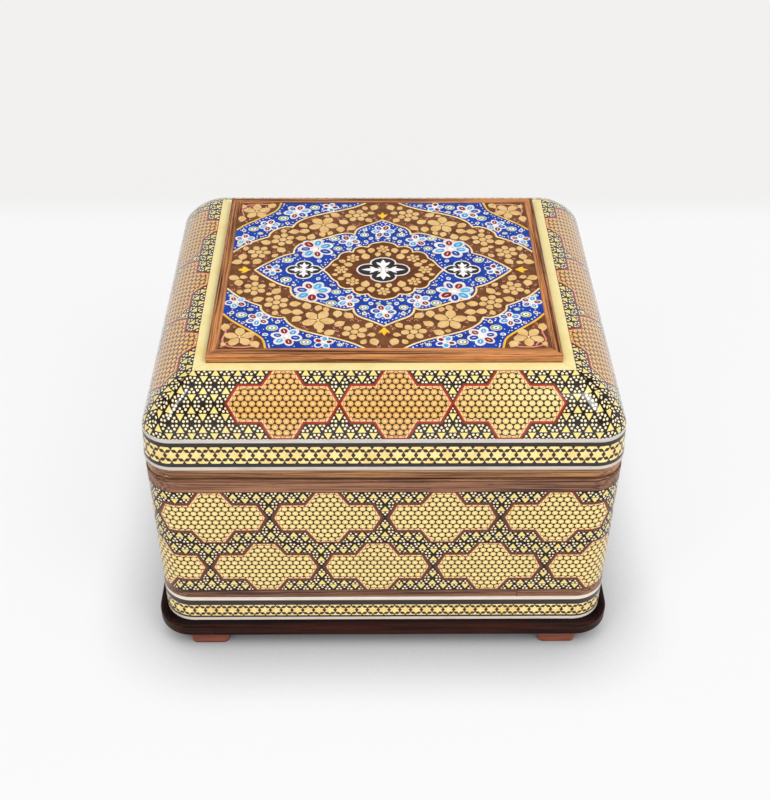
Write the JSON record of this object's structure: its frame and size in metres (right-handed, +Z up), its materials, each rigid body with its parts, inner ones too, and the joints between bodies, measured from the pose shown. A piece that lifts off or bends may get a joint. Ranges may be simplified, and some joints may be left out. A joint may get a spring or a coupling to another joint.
{
  "type": "inlaid jewelry box",
  "caption": "Inlaid wooden jewelry box with a hinged lid, rounded shoulders, a raised picture panel, a plinth and four feet.",
  "frame": {"origin": "under the middle of the box, on the surface that the feet stand on", "axes": "+X along the width, to the right seen from the front; +Y from the front to the hinged back; +Z up"},
  "size_m": [0.1368, 0.1226, 0.0969],
  "materials": {
    "foot_wood": "polished",
    "plinth_wood": "polished",
    "base_board": "satin",
    "core_wood": "satin",
    "mosaic": "gloss lacquer",
    "star_band": "gloss lacquer",
    "white_line": "gloss lacquer",
    "black_line": "gloss lacquer",
    "walnut": "gloss lacquer",
    "pale_border": "gloss lacquer",
    "frame_wood": "gloss lacquer",
    "painting": "gloss lacquer",
    "velvet": "velvet",
    "brass": "polished"
  },
  "bodies": {
    "case": {"body_black_line_lower": "black_line", "body_black_line_upper": "black_line", "body_lower_strip": "walnut", "body_mosaic_back": "mosaic", "body_mosaic_front": "mosaic", "body_mosaic_left": "mosaic", "body_mosaic_right": "mosaic", "body_rim_strip": "walnut", "body_star_band": "star_band", "body_white_line_lower": "white_line", "body_white_line_upper": "white_line", "bottom_board": "base_board", "case_side_lining": "velvet", "floor_lining": "velvet", "foot_back_left": "foot_wood", "foot_back_right": "foot_wood", "foot_front_left": "foot_wood", "foot_front_right": "foot_wood", "hinge_case_leaf_left": "brass", "hinge_case_leaf_right": "brass", "hinge_pin_left": "brass", "hinge_pin_right": "brass", "hinge_screws_case": "brass", "plinth_back": "plinth_wood", "plinth_corners": "plinth_wood", "plinth_front": "plinth_wood", "plinth_left": "plinth_wood", "plinth_right": "plinth_wood", "wall_back": "core_wood", "wall_front": "core_wood", "wall_left": "core_wood", "wall_right": "core_wood"},
    "lid": {"border_strips": "pale_border", "hinge_lid_leaf_left": "brass", "hinge_lid_leaf_right": "brass", "hinge_screws_lid": "brass", "lid_black_line_lower": "black_line", "lid_black_line_upper": "black_line", "lid_mosaic_back": "mosaic", "lid_mosaic_front": "mosaic", "lid_mosaic_left": "mosaic", "lid_mosaic_right": "mosaic", "lid_rim_strip": "walnut", "lid_side_back": "core_wood", "lid_side_front": "core_wood", "lid_side_left": "core_wood", "lid_side_lining": "velvet", "lid_side_right": "core_wood", "lid_star_band": "star_band", "lid_top_board": "core_wood", "lid_top_lining": "velvet", "lid_white_line_lower": "white_line", "lid_white_line_upper": "white_line", "painted_plate": "painting", "panel_frame_back": "frame_wood", "panel_frame_front": "frame_wood", "panel_frame_left": "frame_wood", "panel_frame_right": "frame_wood"}
  },
  "joints": [
    {"name": "lid_hinge", "type": "hinge", "parent": "case", "child": "lid", "pos_m": [0, 0.05955, 0.06715], "axis": [-1, 0, 0], "range_deg": [0, 100]}
  ]
}
